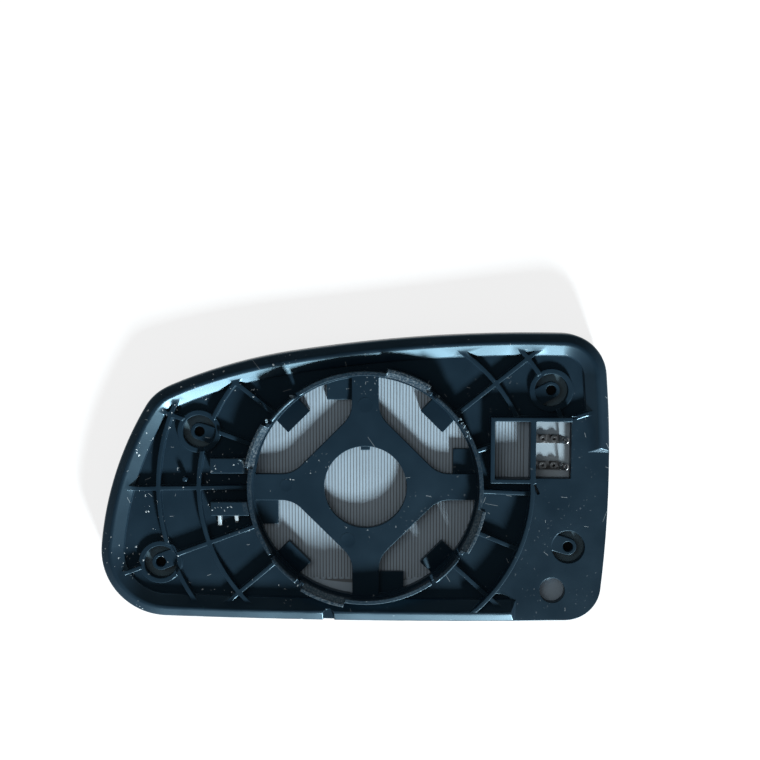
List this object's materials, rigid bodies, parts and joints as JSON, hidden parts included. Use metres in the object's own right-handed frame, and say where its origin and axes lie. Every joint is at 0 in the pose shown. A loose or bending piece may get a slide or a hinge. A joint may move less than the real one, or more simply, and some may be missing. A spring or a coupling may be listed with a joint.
{
  "type": "car door mirror glass",
  "caption": "Heated convex mirror glass for a car door mirror, bonded into a black moulded carrier with a snap-in socket ring, spokes, ribs and riveted heater terminals on its back.",
  "frame": {"origin": "on the axis of the actuator socket, in the seat plane on top of the hub and spokes", "axes": "+Z out of the back along the socket axis, away from the reflecting face; +X along the long side, towards the connector window; +Y towards the taller upper edge"},
  "size_m": [0.1826, 0.1052, 0.0133],
  "materials": {
    "carrier": "satin moulded black",
    "mirror": "polished, silvered on the back",
    "film": "striped heating film",
    "patch": "smooth satin",
    "terminal": "tinned strip",
    "rivet": "tinned, dull"
  },
  "bodies": {
    "root": {"carrier_plate": "carrier", "mirror_glass": "mirror", "heater_film": "film", "terminal_patch": "patch", "terminal_upper": "terminal", "terminal_lower": "terminal", "rivets": "rivet"}
  },
  "joints": []
}
